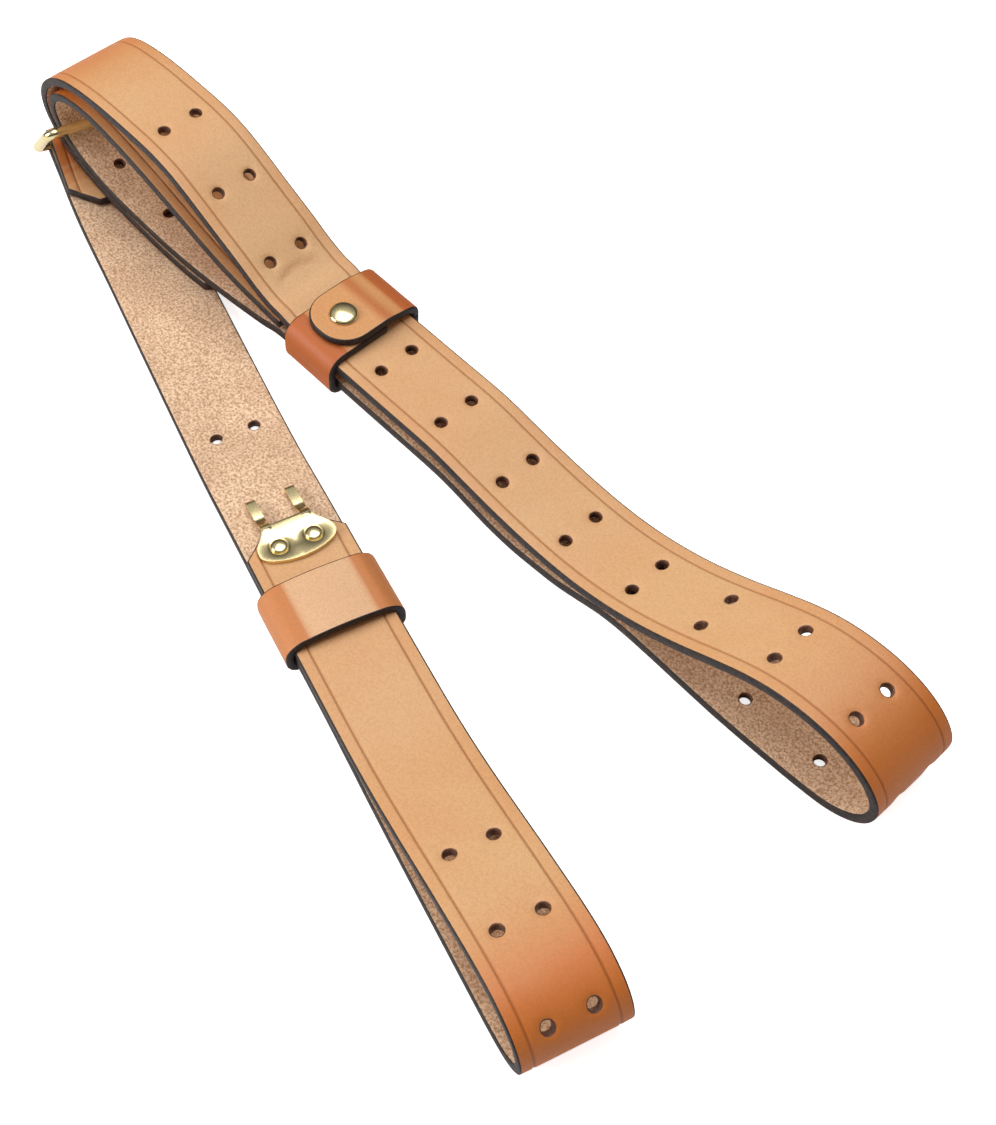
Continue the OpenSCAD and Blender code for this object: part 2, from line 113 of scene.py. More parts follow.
S0 = np.array([19.3, -61.2, 0.0])
TURN = math.radians(-16.7)
RING_AT, RING_Z, RING_TURN, ROLL = -189.0, 13.5, math.radians(6.7), math.radians(-6)


def drift(x):
    return 0.019 * (np.sqrt((x + 10) ** 2 + 1600) - x - 10) - 0.8


def settle(x):
    t = np.clip((x + 120) / -50, 0, 1)
    return t * t * (3 - 2 * t)


def short_to_layout(x, y, z):
    c, s = math.cos(TURN), math.sin(TURN)
    return np.stack([S0[0] + x * c - y * s, S0[1] + x * s + y * c, z], -1)


def place_short(x, y, z):
    f = settle(x)
    a = ROLL * f
    dz = z - RING_Z
    return short_to_layout(x - y * math.tan(RING_TURN) * f,
                           drift(x) + y * np.cos(a) - dz * np.sin(a),
                           RING_Z + y * np.sin(a) + dz * np.cos(a))


SNAP_AT = -21.2
SNAP_Z = (18 + 10.85) / 2 - SNAP_AT * math.tan(FALL)


def place_snap(y, x, z):
    """Section drawn in Y and Z, swept along X."""
    c, s = math.cos(FALL), math.sin(FALL)
    return np.stack([SNAP_AT + x * c + z * s, y, SNAP_Z - x * s + z * c], -1)


PLAIN_AT = 32.5


def place_plain(y, x, z):
    return short_to_layout(PLAIN_AT + x, y + drift(np.array(PLAIN_AT + 10.0)), z)


# ---- leather ------------------------------------------------------------------------------

def even(points, step):
    """The closed outline, with points about step apart and its corners kept."""
    out = []
    for a, b in zip(points, points[1:] + points[:1]):
        n = max(int(round(math.dist(a, b) / step)), 1)
        out += [(a[0] + (b[0] - a[0]) * i / n, a[1] + (b[1] - a[1]) * i / n) for i in range(n)]
    return np.array(out)


def outward(loop):
    """Outward normals of a counter-clockwise loop, mitred at its corners."""
    d = np.roll(loop, -1, 0) - loop
    d /= np.hypot(d[:, 0], d[:, 1])[:, None]
    n = np.stack([d[:, 1], -d[:, 0]], 1)
    m = n + np.roll(n, 1, 0)
    m /= np.hypot(m[:, 0], m[:, 1])[:, None]
    return m / np.clip((m * n).sum(1), 0.6, 1)[:, None]


def inside(points, loop):
    x, y = points[:, 0], points[:, 1]
    hit = np.zeros(len(points), bool)
    for a, b in zip(loop, np.roll(loop, -1, 0)):
        if a[1] == b[1]:
            continue
        cross = (a[1] > y) != (b[1] > y)
        hit ^= cross & (x < (b[0] - a[0]) * (y - a[1]) / (b[1] - a[1]) + a[0])
    return hit


def leather(name, strip, outline, place, body, stands_for, mats, holes=(), t=T, grain=1,
            crease=None, step=1.5, dents=(), spread=23.0):
    """One piece of leather: its outline in length and width, bent along the strip.
    Rounded edges, tooled creases and real holes. grain is the side of the strip that is grain."""
    rim = 0.42
    loop = even(outline, 1.3)
    out = outward(loop)
    core = loop - out * 0.5
    pts = [tuple(p) for p in core]
    edges = [(i, (i + 1) % len(core)) for i in range(len(core))]
    rings = []
    for hs, hy, hr in holes:
        first = len(pts)
        ang = np.linspace(0, 2 * math.pi, HOLE_SIDES + 1)[:-1]
        pts += [(hs + (hr + rim) * math.cos(a), hy + (hr + rim) * math.sin(a)) for a in ang]
        edges += [(first + i, first + (i + 1) % HOLE_SIDES) for i in range(HOLE_SIDES)]
        rings.append((first, ang, hs, hy, hr))
        for extra in (0.45, 1.1):
            pts += [(hs + (hr + rim + extra) * math.cos(a + 0.13),
                     hy + (hr + rim + extra) * math.sin(a + 0.13)) for a in ang]
    lo, hi = loop.min(0), loop.max(0)
    half = (hi[1] - lo[1]) / 2
    if crease:
        cols = [crease + d for d in (-0.8, -0.45, -0.2, 0, 0.2, 0.45, 0.8)]
        cols = [-c for c in cols] + cols + [half - 1.6, 1.6 - half]
        cols += list(np.linspace(-crease + 2.2, crease - 2.2, 11))
    else:
        cols = list(np.linspace(-half + 1.5, half - 1.5, max(int(2 * half / 1.6), 4)))
    cols = np.array(sorted(cols)) + (hi[1] + lo[1]) / 2
    grid = np.array([(s, y) for s in np.arange(lo[0] + 1.1, hi[0] - 0.9, step) for y in cols])
    grid = grid[inside(grid, loop - out * 0.95)]
    for hs, hy, hr in holes:
        grid = grid[np.hypot(grid[:, 0] - hs, grid[:, 1] - hy) > hr + rim + 1.5]
    pts += [tuple(p) for p in grid]
    verts, _, tris, origin, _, _ = delaunay_2d_cdt([Vector(p) for p in pts], edges, [], 0, 1e-5)
    flat = np.array([tuple(v) for v in verts])
    where = {k: i for i, ks in enumerate(origin) for k in ks}
    tris = np.array([tuple(f) for f in tris])
    mid = flat[tris].mean(1)
    keep = inside(mid, core)
    for _, _, hs, hy, hr in rings:
        keep &= np.hypot(mid[:, 0] - hs, mid[:, 1] - hy) > hr + rim - 0.08
    tris = tris[keep]
    used = np.unique(tris)
    index = np.full(len(flat), -1)
    index[used] = np.arange(len(used))
    flat, tris = flat[used], index[tris]
    n = len(flat)
    near = np.full(n, 9.0)
    for hs, hy, hr in holes:
        near = np.minimum(near, np.hypot(flat[:, 0] - hs, flat[:, 1] - hy) - hr)
    h_top = np.full(n, t / 2)
    if crease:
        h_top -= 0.3 * np.exp(-((np.abs(flat[:, 1]) - crease) / 0.3) ** 2)
        h_top -= 0.08 * np.clip((np.abs(flat[:, 1]) - crease) / 3, 0, 1)
    h_top -= 0.28 * np.exp(-(np.clip(near - rim, 0, 9) / 0.55) ** 2) * (near < 5)
    # Dents pressed in from below: they lower the surface, and grain_leather paints them darker as shade.
    dent_and_shade = np.zeros(n)
    for ds, dy, depth, width, bow in dents:
        u = flat[:, 0] - ds - bow * (flat[:, 1] - dy) ** 2
        dent_and_shade += np.exp(-(u / width) ** 2 - ((flat[:, 1] - dy) / 7.5) ** 4)
        h_top -= depth * dent_and_shade
    rows_2d, rows_h, rows_rim, faces, kinds = [flat, flat], [h_top, np.full(n, -t / 2)], [near, near], [], []
    faces += [tuple(f) for f in tris]
    kinds += [0] * len(tris)
    faces += [tuple(f[::-1] + n) for f in tris]
    kinds += [1] * len(tris)
    total = 2 * n

    def wall(ids, normal, base, profile, kind, gap):
        nonlocal total
        last = [int(i) for i in ids]
        for inset, h in profile:
            rows_2d.append(base - normal * inset)
            rows_h.append(np.full(len(ids), h))
            rows_rim.append(np.full(len(ids), gap))
            now = list(range(total, total + len(ids)))
            total += len(ids)
            for i in range(len(ids)):
                j = (i + 1) % len(ids)
                faces.append((last[i], now[i], now[j], last[j]))
                kinds.append(kind)
            last = now
        low = [int(i) + n for i in ids]
        for i in range(len(ids)):
            j = (i + 1) % len(ids)
            faces.append((last[i], low[i], low[j], last[j]))
            kinds.append(kind)

    border = np.array([index[where[i]] for i in range(len(core))])
    wall(border, out, loop, [(0.17, t / 2 - 0.14), (0.02, t / 2 - 0.45), (0, 0),
                             (0.02, 0.4 - t / 2), (0.16, 0.1 - t / 2)], 2, 9.0)
    for first, ang, hs, hy, hr in rings:
        ids = np.array([index[where[first + i]] for i in range(HOLE_SIDES)])
        base = np.stack([hs + hr * np.cos(ang), hy + hr * np.sin(ang)], 1)
        normal = -np.stack([np.cos(ang), np.sin(ang)], 1)
        wall(ids, normal, base, [(0.14, t / 2 - 0.42), (0.0, t / 2 - 0.8), (0, 0.4 - t / 2),
                                 (0.15, 0.1 - t / 2)], 3, 0.0)
    flat = np.vstack(rows_2d)
    dent_and_shade = np.concatenate([dent_and_shade, np.zeros(len(flat) - n)])
    h = np.concatenate(rows_h)
    rim_d = np.concatenate(rows_rim)
    p, nn = strip.at(flat[:, 0])
    q = p + nn * (h * grain)[:, None]
    world = (place(q[:, 0], flat[:, 1], q[:, 1]) - CENTRE) * MM
    mesh = bpy.data.meshes.new(name)
    mesh.from_pydata([tuple(v) for v in world], [], faces)
    for m in mats:
        mesh.materials.append(m)
    mesh.polygons.foreach_set("material_index", kinds)
    mesh.polygons.foreach_set("use_smooth", [True] * len(faces))
    # The bend value carries painted shade: the grain is deeper on the outside of bends, where the surface
    # turns away from the light, averaged over spread along the strip.
    for label, values in (("across", flat[:, 1]), ("rim", rim_d),
                          ("bend_shade", -strip.bend(flat[:, 0], spread) * grain * 10),
                          ("border", edge_distance(flat, loop)), ("dent_and_shade", dent_and_shade)):
        layer = mesh.attributes.new(label, "FLOAT", "POINT")
        layer.data.foreach_set("value", np.ascontiguousarray(values, np.float32))
    bm = bmesh.new()
    bm.from_mesh(mesh)
    bmesh.ops.recalc_face_normals(bm, faces=bm.faces)
    bm.to_mesh(mesh)
    bm.free()
    mesh.update()
    obj = bpy.data.objects.new(name, mesh)
    bpy.context.scene.collection.objects.link(obj)
    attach(obj, body)
    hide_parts(stands_for)


def edge_distance(points, loop):
    best = np.full(len(points), 9.0)
    for a, b in zip(loop, np.roll(loop, -1, 0)):
        d = b - a
        t = np.clip(((points - a) @ d) / (d @ d), 0, 1)
        best = np.minimum(best, np.hypot(*(points - a - t[:, None] * d).T))
    return best


# ---- materials ---------------------------------------------------------------------------------

class Nodes:
    """Short words for building a node tree."""

    def __init__(self, name):
        self.mat = bpy.data.materials.new(name)
        self.mat.use_nodes = True
        self.tree = self.mat.node_tree
        self.shader = self.tree.nodes["Principled BSDF"]

    def new(self, kind, **settings):
        node = self.tree.nodes.new(kind)
        for key, value in settings.items():
            setattr(node, key, value)
        return node

    def link(self, a, b):
        self.tree.links.new(a, b)

    def math(self, op, a, b=None, clamp=False):
        node = self.new("ShaderNodeMath", operation=op, use_clamp=clamp)
        for i, v in enumerate((a, b)):
            if v is None:
                continue
            if isinstance(v, (int, float)):
                node.inputs[i].default_value = v
            else:
                self.link(v, node.inputs[i])
        return node.outputs[0]

    def noise(self, scale, detail=3.0, rough=0.55):
        node = self.new("ShaderNodeTexNoise")
        node.inputs["Scale"].default_value = scale
        node.inputs["Detail"].default_value = detail
        node.inputs["Roughness"].default_value = rough
        self.link(self.place(), node.inputs["Vector"])
        return node.outputs["Fac"]

    def place(self):
        return self.new("ShaderNodeTexCoord").outputs["Object"]

    def value(self, label):
        return self.new("ShaderNodeAttribute", attribute_name=label).outputs["Fac"]

    def mix(self, fac, a, b):
        node = self.new("ShaderNodeMix", data_type="RGBA")
        for key, v in ((0, fac), (6, a), (7, b)):
            if isinstance(v, (int, float)):
                node.inputs[key].default_value = v
            elif isinstance(v, tuple):
                node.inputs[key].default_value = (*v, 1)
            else:
                self.link(v, node.inputs[key])
        return node.outputs[2]

    def ramp(self, value, low, high):
        """0 at low, 1 at high."""
        node = self.new("ShaderNodeMapRange", interpolation_type="SMOOTHSTEP")
        self.link(value, node.inputs["Value"])
        node.inputs["From Min"].default_value = low
        node.inputs["From Max"].default_value = high
        return node.outputs["Result"]

    def bump(self, height, distance, strength=1.0):
        node = self.new("ShaderNodeBump")
        node.inputs["Distance"].default_value = distance
        node.inputs["Strength"].default_value = strength
        self.link(height, node.inputs["Height"])
        self.link(node.outputs["Normal"], self.shader.inputs["Normal"])

    def set(self, **values):
        for key, v in values.items():
            socket = self.shader.inputs[key.replace("_", " ")]
            if isinstance(v, (int, float)):
                socket.default_value = v
            elif isinstance(v, tuple):
                socket.default_value = (*v, 1)
            else:
                self.link(v, socket)


def grain_leather(name, pale, deep, warm=0.0, creased=True):
    m = Nodes(name)
    cloud = m.ramp(m.noise(28, 2), 0.3, 0.72)
    # Painted shade: deeper tone on the outside of bends, where the surface turns away from the light.
    bend_shade = m.ramp(m.value("bend_shade"), 0.04, 0.55)
    f = m.math("ADD", m.math("MULTIPLY", cloud, 0.16), m.math("MULTIPLY", bend_shade, 0.95))
    colour = m.mix(m.math("ADD", f, warm, clamp=True), pale, deep)
    fleck = m.ramp(m.noise(1500, 2, 0.6), 0.35, 0.7)
    colour = m.mix(m.math("MULTIPLY", fleck, 0.2), colour, tuple(c * 0.62 for c in deep))
    across = m.math("ABSOLUTE", m.value("across"))
    if creased:
        # Painted shade: a dark line along the tooled crease's groove. The band between crease and edge is a
        # little deeper in tone.
        off = m.math("SUBTRACT", across, CREASE)
        line = m.ramp(m.math("ABSOLUTE", off), 0.62, 0.08)
        colour = m.mix(m.math("MULTIPLY", line, 0.6), colour, tuple(c * 0.5 for c in deep))
        outer = m.math("MULTIPLY", m.ramp(off, 0.0, 0.9), 0.12)
        colour = m.mix(outer, colour, deep)
    # Painted shade in the pressed dents, which the mesh is too coarse to shade by itself.
    colour = m.mix(m.math("MULTIPLY", m.value("dent_and_shade"), 0.55), colour, tuple(c * 0.6 for c in deep))
    ring = m.ramp(m.value("rim"), 0.6, 0.15)
    colour = m.mix(m.math("MULTIPLY", ring, 0.8), colour, (0.3, 0.1, 0.045))
    cut = m.ramp(m.value("border"), 0.5, 0.28)
    colour = m.mix(m.math("MULTIPLY", cut, 0.85), colour, (0.1, 0.05, 0.03))
    m.set(Base_Color=colour, Roughness=0.5, Specular_IOR_Level=0.42)
    pores = m.math("ADD", m.math("MULTIPLY", m.noise(900, 3, 0.6), 0.7),
                   m.math("MULTIPLY", m.noise(2600, 2), 0.3))
    m.bump(pores, 0.00012, 0.55)
    return m.mat


def flesh_leather(name, pale, dark):
    m = Nodes(name)
    speck = m.ramp(m.noise(1250, 4, 0.75), 0.38, 0.64)
    cloud = m.ramp(m.noise(60, 3), 0.3, 0.7)
    colour = m.mix(m.math("MULTIPLY", speck, 0.85), pale, dark)
    colour = m.mix(m.math("MULTIPLY", cloud, 0.25), colour, dark)
    colour = m.mix(m.math("MULTIPLY", m.ramp(m.value("border"), 0.6, 0.3), 0.7), colour, (0.06, 0.035, 0.025))
    m.set(Base_Color=colour, Roughness=0.95, Specular_IOR_Level=0.15)
    m.bump(m.noise(1600, 4, 0.75), 0.0003, 0.8)
    return m.mat


def edge_leather(name, dark, brown):
    m = Nodes(name)
    fibre = m.ramp(m.noise(700, 4, 0.65), 0.4, 0.72)
    colour = m.mix(m.math("MULTIPLY", fibre, 0.55), dark, brown)
    m.set(Base_Color=colour, Roughness=0.55, Specular_IOR_Level=0.4)
    m.bump(m.noise(800, 3, 0.6), 0.0002, 0.6)
    return m.mat


def metal(name, colour, roughness):
    m = Nodes(name)
    worn = m.ramp(m.noise(220, 3), 0.35, 0.75)
    m.set(Base_Color=m.mix(m.math("MULTIPLY", worn, 0.25), colour, tuple(c * 0.8 for c in colour)),
          Metallic=1.0, Roughness=m.math("ADD", m.math("MULTIPLY", m.noise(400, 2), 0.08), roughness - 0.04))
    return m.mat


def thread_material():
    m = Nodes("thread")
    m.set(Base_Color=m.mix(m.noise(1500, 2), (0.5, 0.36, 0.2), (0.3, 0.2, 0.1)), Roughness=0.8)
    return m.mat


PALE, DEEP = (0.68, 0.4, 0.19), (0.58, 0.16, 0.025)
strap_mats = [grain_leather("grain", PALE, DEEP),
              flesh_leather("flesh", (0.95, 0.69, 0.47), (0.38, 0.19, 0.1)),
              edge_leather("edge", (0.012, 0.008, 0.007), (0.07, 0.035, 0.025)),
              edge_leather("hole", (0.09, 0.035, 0.018), (0.28, 0.11, 0.05))]
keeper_edge = edge_leather("keeper_edge", (0.008, 0.006, 0.006), (0.05, 0.03, 0.025))
keeper_mats = [grain_leather("keeper_grain", (0.66, 0.33, 0.125), (0.46, 0.11, 0.02), 0.05, False),
               strap_mats[1], keeper_edge, strap_mats[3]]
plain_mats = [grain_leather("plain_keeper_grain", (0.74, 0.46, 0.26), (0.56, 0.2, 0.06), 0.0, False)]
plain_mats += keeper_mats[1:]
brass = metal("brass", (0.84, 0.7, 0.38), 0.2)
thread = thread_material()


# ---- the straps -----------------------------------------------------------------------------------

def top_run(x):
    return 18 - x * math.tan(FALL)


def low_run(x):
    return 10.85 - x * math.tan(FALL)


long_points = [
    [-70, 6.2], [-84, 4.9], [-98, 5.4], [-113, 7.4], [-127, 10.2], [-138, 13.4], [-147, 17.2],
    [-154.2, 22.5], [-158.9, 29.5], [-159.9, 36], [-157.4, 42.2], [-152, 47.3], [-145, 50.8],
    [-136, 52.5], [-124, 52.8], [-110, 51.7], [-98, 50.2], [-88, 47.3], [-78, 42.3], [-68, 36.6],
    [-58, 31.1], [-50, 26.2], [-43, 22.95], [-37.6, 21.8], [-33.4, 20.5], [-29, top_run(-29)],
    [-10, top_run(-10)], [12, top_run(12)], [32, top_run(32)],
    [46, 13], [58, 10.6], [70, 8.8], [82, 7.8], [93, 7.9], [103, 9.1], [113, 11.3], [123, 14.5],
    [134, 19], [145, 24.2], [156, 29], [166, 31.8], [176, 32.6],
    [185, 31.5], [193, 28.4], [199, 23.5], [202, 17.6], [200.9, 11.3], [196.4, 6.1],
    [189, 2.7], [179, 1.65],
    [166, 1.65], [150, 2.2], [137, 3.5], [124, 5], [113, 5.9], [104, 5.6], [95, 3.8], [86, 2.1],
    [76, 1.65], [67, 1.7], [58, 2.9], [49, 5.1], [41, 7.2], [32, low_run(32)],
    [12, low_run(12)], [-10, low_run(-10)], [-37, low_run(-37)],
    [-48, 11.9], [-59, 10.7], [-70, 9.8], [-84, 9.2], [-98, 9.7], [-113, 11.4], [-127, 13.7],
    [-137, 16.8], [-144.5, 20.4],
    [-150.4, 24.8], [-154, 29.5], [-155.4, 35], [-153.6, 39.5], [-150, 42.2], [-145, 43.9],
    [-137, 44.6], [-127.5, 43.6], [-117.5, 41.1], [-107.5, 38], [-98, 34.6], [-88, 30.7],
    [-78, 26.8], [-68.5, 23.4], [-59, 20.9], [-50, 19.2], [-43, 18], [-38, 17.2]]
long_strip = Strip(long_points)
HOLE_R, HOLE_GAP, PITCH = 1.7, 12.7, 27.2
RIVET_HOLE_R, RIVET_Y = 1.35, 5.5
CORNER = 9                                 # cut corners at a strap's plain end
zero = float(long_strip.s[np.argmin(np.abs(long_strip.p[:, 0]) + 5 * (long_strip.p[:, 1] < 15)
                                    + 50 * (long_strip.p[:, 1] > 19))])
pairs = [zero + i * PITCH for i in range(-4, 11)] + [zero + 453.1 + i * PITCH for i in range(-5, 5)]
hook_run = float(long_strip.s[np.argmin(np.hypot(*(long_strip.p - np.array([-45.4, 18.37])).T))])
long_holes = [(s, y, HOLE_R) for s in pairs for y in (-HOLE_GAP / 2, HOLE_GAP / 2)]
long_holes += [(hook_run, y, RIVET_HOLE_R) for y in (-RIVET_Y, RIVET_Y)]
L = long_strip.length
half = W / 2
long_outline = [(0, -half + CORNER), (CORNER, -half), (L - 0.2, -half), (L - 0.2, half), (CORNER, half),
                (0, half - CORNER)]
leather("long_strap_leather", long_strip, long_outline, place_long, "long_strap", "long_strap",
        strap_mats, long_holes, grain=1, crease=CREASE,
        dents=[(run_near(long_strip, -48.2, 25.6), 0.0, 0.45, 0.95, 0.03)])

FOLD_R = 3.5 / 2 + 0.4 + T / 2
short_points = ([[-159, 7.75], [-165, 8.6], [-171, 9.9], [-176.5, 12.2]]
                + arc((RING_AT, RING_Z), FOLD_R, 70, 262, 7)
                + [[-176.5, 7.8], [-169, 5.9], [-160, 4.4], [-149, 3.2], [-136, 2.3], [-122, 1.72],
                   [-108, 1.58], [-85, 1.5], [-60, 1.5], [-42, 1.58], [-28, 2.1], [-12, 3.6], [3, 4.3],
                   [24, 4.3], [45, 4.3], [64, 4.3], [78, 3.4], [92, 2.3], [108, 1.62],
                   [130, 1.52], [150, 1.52], [163, 1.65], [171.2, 3.2], [176.4, 6.8], [178.6, 11.6],
                   [177.4, 16.6], [173.5, 20.7], [167.4, 23.2], [160.6, 23.7], [152, 22.7], [142, 20.6],
                   [131, 18], [120, 15.1], [109, 12.3], [97, 9.8], [84, 8.1], [70, 7.6],
                   [50, 7.6], [30, 7.6], [15, 7.6], [0, 7.6]])
short_strip = Strip(short_points)
SL = short_strip.length
short_pairs = [run_near(short_strip, *p) for p in ((-45.2, 1.5), (123.4, 16.1), (149.8, 22.3), (175.1, 19.2))]
short_holes = [(s, y, HOLE_R) for s in short_pairs for y in (-HOLE_GAP / 2, HOLE_GAP / 2)]
hook_s = run_near(short_strip, 7.4, 7.6)
short_holes += [(hook_s, y, RIVET_HOLE_R) for y in (-RIVET_Y, RIVET_Y)]
short_outline = [(0, -half + CORNER), (CORNER, -half), (SL - 7.5, -half), (SL, -half + 8.2),
                 (SL, half - 8.2), (SL - 7.5, half), (CORNER, half), (0, half - CORNER)]
leather("short_strap_leather", short_strip, short_outline, place_short, "short_strap",
        "short_strap", strap_mats, short_holes, grain=-1, crease=CREASE)


# ---- the keepers -------------------------------------------------------------------------------------

KEEP_W, KEEP_T, PLAY = 22.0, 2.5, 0.35
wall_y = W / 2 + PLAY + KEEP_T / 2


def keeper_path(z0, z1, rise, r, r_low):
    """Closed middle line of a band, from the middle of its floor, seen along its axis."""
    w = wall_y
    top = [(y, z1 + rise * math.cos(math.pi / 2 * y / w)) for y in np.linspace(w - r * 0.9, r * 0.9 - w, 15)]
    return ([(0, z0), (w - r_low - 2, z0)] + arc((w - r_low, z0 + r_low), r_low, -90, 0, 6)
            + arc((w - r, z1 - r), r, 0, 75, 6) + top + arc((r - w, z1 - r), r, 105, 180, 6)
            + arc((r_low - w, z0 + r_low), r_low, 180, 270, 6) + [(r_low + 2 - w, z0), (0, z0)])


plain_strip = Strip(keeper_path(1.25, 10.7, 1.3, 4.2, 3.0), 1, 1.0)
hk = KEEP_W / 2
leather("plain_keeper_leather", plain_strip,
        [(0.1, -hk), (plain_strip.length - 0.1, -hk), (plain_strip.length - 0.1, hk), (0.1, hk)],
        place_plain, "plain_keeper", "plain_keeper", plain_mats, t=KEEP_T, grain=-1, step=1.1, spread=2.5)

STACK = 7.15 * math.cos(FALL) / 2 + T / 2
BAND_Z = STACK + PLAY + KEEP_T / 2
TAB_Z = BAND_Z + KEEP_T + 0.3
HINGE = (wall_y, STACK + 0.15)
band_path = ([(5.3, BAND_Z), (0, BAND_Z), (5.2 - wall_y, BAND_Z)]
             + arc((4.8 - wall_y, BAND_Z - 4.8), 4.8, 95, 180, 8)
             + arc((3.2 - wall_y, 3.2 - BAND_Z), 3.2, 180, 270, 6)
             + [(0, -BAND_Z)] + arc((wall_y - 3.2, 3.2 - BAND_Z), 3.2, 270, 360, 6)
             + [(wall_y, 0), (wall_y, 3.7)])
band_strip = Strip(band_path, 1, 1.0)
leather("snap_band_leather", band_strip,
        [(0, -hk), (band_strip.length, -hk), (band_strip.length, hk), (0, hk)],
        place_snap, "snap_keeper", "snap_keeper_band", keeper_mats, t=KEEP_T, grain=-1, step=1.1, spread=2.5)
tab_points = [HINGE, (17.1, 6.5), (15.9, 7.5), (13.8, 8.15), (11, 8.7), (8.3, 9.2), (6, TAB_Z + 0.05),
              (3, TAB_Z + 0.05), (-3, TAB_Z + 0.02), (-8, TAB_Z + 0.02), (-13.4, TAB_Z)]
tab_strip = Strip([(wall_y, 3.9)] + tab_points, 6, 1.2)
TL = tab_strip.length
tip = [(TL - 10 + 10 * math.sin(a), 11 - 10 + 10 * math.cos(a)) for a in np.radians(np.arange(90, -1, -9))]
tab_outline = ([(0, -hk)] + [(s, -y) for s, y in tip[::-1]] + tip + [(0, hk)])
leather("snap_tab_leather", tab_strip, tab_outline, place_snap, "snap_tab", "snap_keeper_tab",
        keeper_mats, t=KEEP_T, grain=-1, step=1.1, spread=2.5)


# ---- brass and thread -------------------------------------------------------------------------------

def hardware(node, body, material, bevel=0.12):
    """The CAD node's own shape, with softened edges and a finish."""
    obj = bpy.data.objects.new(node + "_metal", nodes[node].data.copy())
    bpy.context.scene.collection.objects.link(obj)
    obj.data.materials.clear()
    obj.data.materials.append(material)
    bm = bmesh.new()
    bm.from_mesh(obj.data)
    bmesh.ops.remove_doubles(bm, verts=bm.verts, dist=2e-6)
    bm.to_mesh(obj.data)
    bm.free()
    for p in obj.data.polygons:
        p.material_index = 0
    obj.data.set_sharp_from_angle(angle=math.radians(40))
    if bevel:
        mod = obj.modifiers.new("soften", "BEVEL")
        mod.width = bevel * MM
        mod.segments = 2
        mod.limit_method = "ANGLE"
        mod.angle_limit = math.radians(40)
        mod.harden_normals = True
    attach(obj, body)
    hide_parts(node)


for node, body, bevel in (
        ("ring", "ring", 0), ("long_claw_hook", "long_strap", 0.15), ("long_hook_rivets", "long_strap", 0),
        ("long_hook_burrs", "long_strap", 0), ("short_claw_hook", "short_strap", 0.15),
        ("short_hook_rivets", "short_strap", 0), ("short_hook_burrs", "short_strap", 0),
        ("plain_keeper_staples", "plain_keeper", 0),
        ("snap_socket", "snap_tab", 0), ("snap_stud", "snap_keeper", 0), ("snap_post", "snap_keeper", 0)):
    hardware(node, body, brass, bevel)
hardware("ring_fold_stitching", "short_strap", thread, 0)


def snap_cap():
    """A domed cap with a rolled rim, and its post."""
    r, base = 4.7, TAB_Z + KEEP_T / 2 + 0.05
    profile = [(0.0, -1.4), (1.3, -1.4), (1.3, 0.0), (r - 0.35, 0.0), (r - 0.08, 0.12), (r, 0.32),
               (r - 0.1, 0.52)]
    profile += [((r - 0.15) * math.cos(a), 0.5 + 1.35 * math.sin(a)) for a in np.radians(np.arange(4, 90, 7))]
    profile.append((0.0, 1.85))
    bm = bmesh.new()
    rings = []
    for pr, pz in profile:
        count = 1 if pr == 0 else 48
        ring = []
        for i in range(count):
            a = 2 * math.pi * i / 48
            p = place_snap(np.array(-3.3 + pr * math.sin(a)), np.array(pr * math.cos(a)), np.array(base + pz))
            ring.append(bm.verts.new(tuple((p - CENTRE) * MM)))
        rings.append(ring)
    for a, b in zip(rings, rings[1:]):
        for i in range(48):
            j = (i + 1) % 48
            quad = [a[i % len(a)], a[j % len(a)], b[j % len(b)], b[i % len(b)]]
            quad = [v for k, v in enumerate(quad) if v not in quad[:k]]
            bm.faces.new(quad).smooth = True
    bmesh.ops.recalc_face_normals(bm, faces=bm.faces)
    mesh = bpy.data.meshes.new("snap_cap_dome")
    bm.to_mesh(mesh)
    bm.free()
    mesh.materials.append(brass)
    mesh.set_sharp_from_angle(angle=math.radians(50))
    obj = bpy.data.objects.new("snap_cap_dome", mesh)
    bpy.context.scene.collection.objects.link(obj)
    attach(obj, "snap_tab")
    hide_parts("snap_cap")


snap_cap()


# ---- studio ----------------------------------------------------------------------------------------------

LAMPS = (("top", (-0.1, 0.2, 1.25), 1.0, 12.5), ("left", (-0.6, -1.0, 0.65), 0.7, 12.0))
FLOOR_GLOW, ROOM_LIGHT = 0.8, 0.22
EYE = (290.2, -235.9, 419.1)               # the camera, in the layout
PITCH_DEG, YAW_DEG, ROLL_DEG = 53.63, -46.03, 0.08
LENS_MM = 55.872                           # on a 36 mm sensor


def studio():
    """Pale floor, lit from above and the left. It glows for the camera alone, which hides shadows."""
    m = Nodes("floor")
    m.set(Base_Color=(0.93, 0.93, 0.93), Roughness=0.9, Specular_IOR_Level=0.1)
    m.shader.inputs["Emission Color"].default_value = (1, 1, 1, 1)
    seen = m.new("ShaderNodeLightPath").outputs["Is Camera Ray"]
    m.set(Emission_Strength=m.math("MULTIPLY", seen, FLOOR_GLOW))
    mesh = bpy.data.meshes.new("floor")
    mesh.from_pydata([(-4, -4, 0), (4, -4, 0), (4, 4, 0), (-4, 4, 0)], [], [(0, 1, 2, 3)])
    mesh.materials.append(m.mat)
    floor = bpy.data.objects.new("floor", mesh)
    floor.location.z = -0.0002
    bpy.context.scene.collection.objects.link(floor)
    sky()
    for name, at, size, power in LAMPS:
        data = bpy.data.lights.new(name, "AREA")
        data.energy = power
        data.size = size
        light = bpy.data.objects.new(name, data)
        light.location = at
        light.rotation_euler = (Vector((0, 0, 0)) - Vector(at)).to_track_quat("-Z", "Y").to_euler()
        bpy.context.scene.collection.objects.link(light)


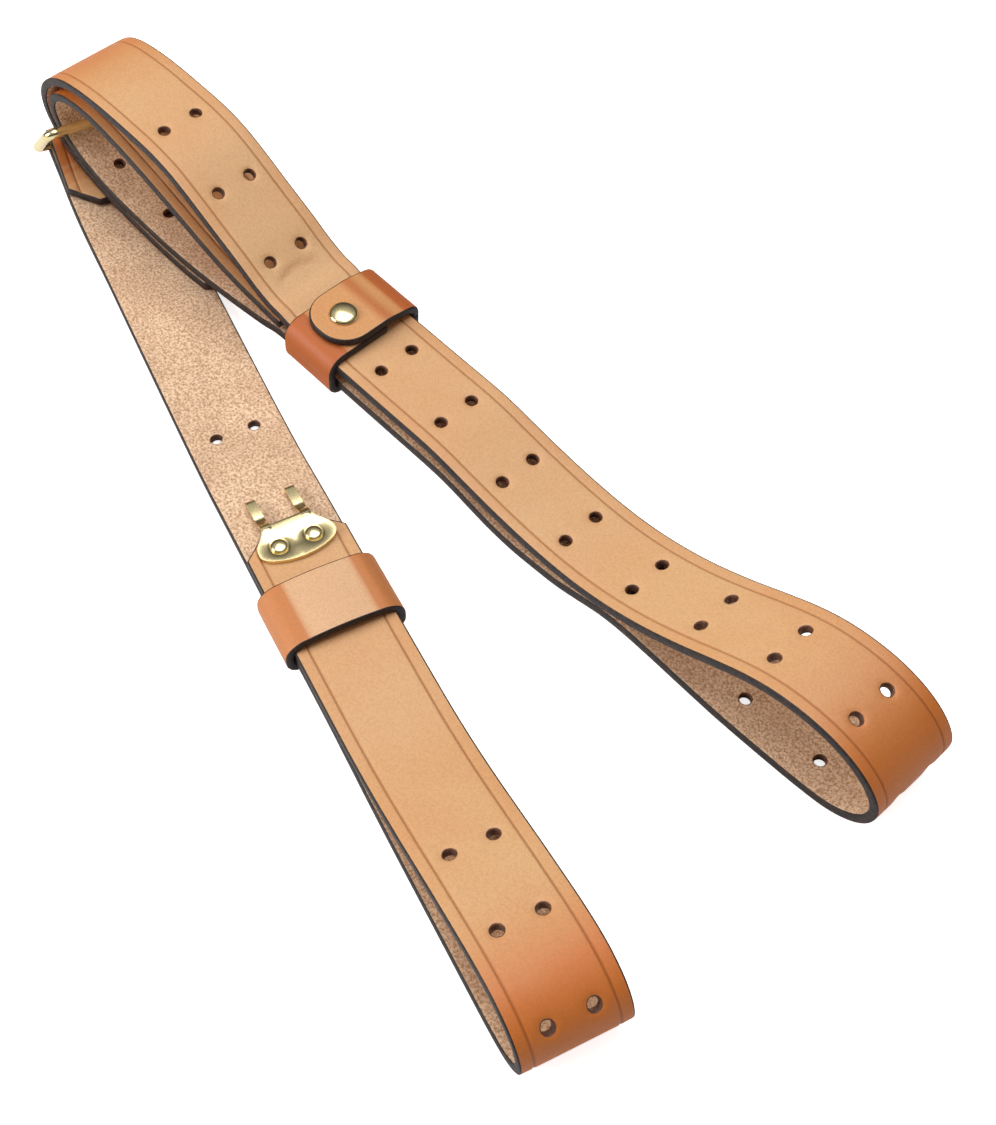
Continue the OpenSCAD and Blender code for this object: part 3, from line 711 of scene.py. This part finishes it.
def sky():
    """A dim even room. Reflections see a graded one instead: dark low down, bright overhead."""
    world = bpy.data.worlds.new("studio")
    bpy.context.scene.world = world
    world.use_nodes = True
    tree = world.node_tree
    back = tree.nodes["Background"]
    back.inputs["Strength"].default_value = ROOM_LIGHT
    geometry = tree.nodes.new("ShaderNodeTexCoord")
    split = tree.nodes.new("ShaderNodeSeparateXYZ")
    tree.links.new(geometry.outputs["Generated"], split.inputs[0])
    ramp = tree.nodes.new("ShaderNodeValToRGB")
    ramp.color_ramp.elements[0].position = 0.0
    ramp.color_ramp.elements[0].color = (0.9, 0.9, 0.9, 1)
    ramp.color_ramp.elements[1].position = 1.0
    ramp.color_ramp.elements[1].color = (2.8, 2.8, 2.8, 1)
    for at, v in ((0.02, 0.3), (0.3, 0.25), (0.55, 0.7), (0.78, 2.2)):
        e = ramp.color_ramp.elements.new(at)
        e.color = (v, v, v, 1)
    tree.links.new(split.outputs["Z"], ramp.inputs["Fac"])
    path = tree.nodes.new("ShaderNodeLightPath")
    mix = tree.nodes.new("ShaderNodeMix")
    mix.data_type = "RGBA"
    tree.links.new(path.outputs["Is Glossy Ray"], mix.inputs[0])
    mix.inputs[6].default_value = (1, 1, 1, 1)
    tree.links.new(ramp.outputs["Color"], mix.inputs[7])
    tree.links.new(mix.outputs[2], back.inputs["Color"])


def camera():
    pitch, yaw, roll = math.radians(PITCH_DEG), math.radians(YAW_DEG), math.radians(ROLL_DEG)
    d = Vector((math.sin(yaw) * math.cos(pitch), math.cos(yaw) * math.cos(pitch), -math.sin(pitch)))
    r = Vector((math.cos(yaw), -math.sin(yaw), 0))
    u = r.cross(d)
    r2, u2 = r * math.cos(roll) + u * math.sin(roll), u * math.cos(roll) - r * math.sin(roll)
    data = bpy.data.cameras.new("camera")
    data.sensor_width = 36
    data.lens = LENS_MM
    cam = bpy.data.objects.new("camera", data)
    place = (np.array(EYE) - CENTRE) * MM
    m = Matrix(((r2.x, u2.x, -d.x, place[0]), (r2.y, u2.y, -d.y, place[1]),
                (r2.z, u2.z, -d.z, place[2]), (0, 0, 0, 1)))
    cam.matrix_world = m
    bpy.context.scene.collection.objects.link(cam)
    bpy.context.scene.camera = cam


studio()
camera()
scene = bpy.context.scene
scene.view_settings.view_transform = "Standard"
scene.view_settings.look = "None"
scene.view_settings.exposure = 0.0

bpy.context.view_layer.update()
